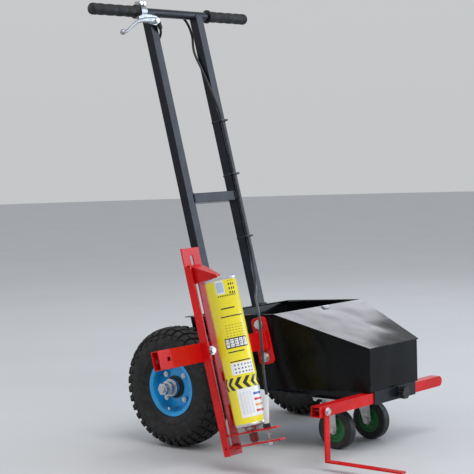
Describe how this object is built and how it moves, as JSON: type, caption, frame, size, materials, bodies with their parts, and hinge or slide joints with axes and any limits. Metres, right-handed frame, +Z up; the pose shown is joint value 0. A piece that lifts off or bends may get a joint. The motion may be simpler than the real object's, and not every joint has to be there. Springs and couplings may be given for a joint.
{
  "type": "line striping machine",
  "caption": "Hand-pushed road line marking cart with steel bin, T-handle mast, swivel casters, guide pointer and an outrigger that holds an inverted aerosol can.",
  "frame": {"origin": "on the ground, directly under the middle of the rear axle", "axes": "+X is the direction of travel, +Y the machine's left, +Z up"},
  "size_m": [0.8223, 0.766, 0.9756],
  "materials": {
    "black_frame": "satin black enamel",
    "black_sheet": "gloss black enamel",
    "grip_foam": "matt moulded rubber",
    "lever_silver": "polished cast aluminium",
    "zinc": "bright zinc plate",
    "steel": "turned steel",
    "cable_black": "black vinyl sheath",
    "tyre_black": "matt tyre rubber",
    "rim_blue": "gloss blue enamel",
    "caster_tread": "matt rubber",
    "caster_green": "moulded green nylon",
    "red_paint": "gloss red powder coat",
    "knob_black": "moulded phenolic",
    "cable_stop_white": "white nylon",
    "can_yellow": null,
    "nozzle_red": "moulded dark red"
  },
  "bodies": {
    "cart": {"upright_right": "black_frame", "upright_left": "black_frame", "crossbar": "black_frame", "handlebar": "black_frame", "grip_right": "grip_foam", "grip_left": "grip_foam", "lever_bracket": "lever_silver", "lever_fasteners": "zinc", "brake_cable": "cable_black", "cable_clips": "cable_black", "bin_tray": "black_sheet", "bin_rim": "black_sheet", "bin_lid": "black_sheet", "lid_catch": "zinc", "base_rail_right": "black_frame", "base_rail_left": "black_frame", "rear_crossmember": "black_frame", "axle_bracket_right": "black_frame", "axle_bracket_left": "black_frame", "axle": "steel", "axle_nuts": "zinc", "caster_plates": "zinc", "caster_plate_bolts": "zinc", "guide_sleeve": "black_frame", "arm_plate": "red_paint", "arm_tube": "red_paint", "arm_plate_bolts": "zinc", "holder_clamp_bolt": "zinc"},
    "wheel_right": {"tyre_right": "tyre_black", "rim_right": "rim_blue", "hub_right": "steel", "rim_bolts_right": "zinc"},
    "wheel_left": {"tyre_left": "tyre_black", "rim_left": "rim_blue", "hub_left": "steel", "rim_bolts_left": "zinc"},
    "caster_right": {"caster_fork_right": "zinc", "caster_bolt_right": "zinc"},
    "caster_left": {"caster_fork_left": "zinc", "caster_bolt_left": "zinc"},
    "caster_wheel_right": {"caster_tyre_right": "caster_tread", "caster_hub_right": "caster_green"},
    "caster_wheel_left": {"caster_tyre_left": "caster_tread", "caster_hub_left": "caster_green"},
    "guide": {"guide_bar": "red_paint", "guide_end_cap": "red_paint", "pointer_bolt": "zinc"},
    "pointer": {"pointer_arm": "red_paint"},
    "knob": {"clamp_knob": "knob_black"},
    "holder": {"holder_angle": "red_paint", "trigger_pin": "zinc", "nozzle_plate": "red_paint", "cable_stop": "cable_stop_white", "trigger_spring": "zinc", "spray_can": "can_yellow", "can_nozzle": "nozzle_red"},
    "hook": {"hook_bracket": "red_paint"},
    "trigger": {"trigger_plate": "red_paint", "trigger_wire": "zinc"},
    "lever": {"brake_lever": "lever_silver"}
  },
  "joints": [
    {"name": "wheel_spin_right", "type": "hinge", "parent": "cart", "child": "wheel_right", "pos_m": [0, -0.217, 0.13], "axis": [0, 1, 0], "continuous": true},
    {"name": "caster_swivel_right", "type": "hinge", "parent": "cart", "child": "caster_right", "pos_m": [0.292, -0.0625, 0.1], "axis": [0, 0, 1], "continuous": true},
    {"name": "caster_spin_right", "type": "hinge", "parent": "caster_right", "child": "caster_wheel_right", "pos_m": [0.304, -0.0625, 0.0423], "axis": [0, 1, 0], "continuous": true},
    {"name": "wheel_spin_left", "type": "hinge", "parent": "cart", "child": "wheel_left", "pos_m": [0, 0.217, 0.13], "axis": [0, 1, 0], "continuous": true},
    {"name": "caster_swivel_left", "type": "hinge", "parent": "cart", "child": "caster_left", "pos_m": [0.292, 0.0625, 0.1], "axis": [0, 0, 1], "continuous": true},
    {"name": "caster_spin_left", "type": "hinge", "parent": "caster_left", "child": "caster_wheel_left", "pos_m": [0.304, 0.0625, 0.0423], "axis": [0, 1, 0], "continuous": true},
    {"name": "lever_squeeze", "type": "hinge", "parent": "cart", "child": "lever", "pos_m": [-0.158, -0.088, 0.931], "axis": [-1, 0, 0], "range_deg": [0, 15], "stiffness_Nm_per_rad": 4},
    {"name": "guide_slide", "type": "slide", "parent": "cart", "child": "guide", "axis": [0, 1, 0], "range_m": [-0.09, 0.14]},
    {"name": "pointer_swing", "type": "hinge", "parent": "guide", "child": "pointer", "pos_m": [0.411, -0.241, 0.1185], "axis": [-1, 0, 0], "range_deg": [-60, 110]},
    {"name": "knob_turn", "type": "hinge", "parent": "cart", "child": "knob", "pos_m": [0.418, 0.014, 0.1185], "axis": [1, 0, 0], "range_deg": [0, 720]},
    {"name": "holder_height", "type": "slide", "parent": "cart", "child": "holder", "axis": [-0.2419, 0, 0.9703], "range_m": [-0.015, 0.12], "deforming": ["brake_cable"]},
    {"name": "hook_height", "type": "slide", "parent": "holder", "child": "hook", "axis": [-0.2419, 0, 0.9703], "range_m": [0, 0.03]},
    {"name": "trigger_press", "type": "hinge", "parent": "holder", "child": "trigger", "pos_m": [0.25461, -0.34, 0.04739], "axis": [0, -1, 0], "range_deg": [0, 3.2], "stiffness_Nm_per_rad": 30, "springref_deg": -2.86, "deforming": ["trigger_spring"]}
  ],
  "couplings": [
    {"joint": "trigger_press", "follows": "lever_squeeze", "ratio": 0.21333}
  ]
}
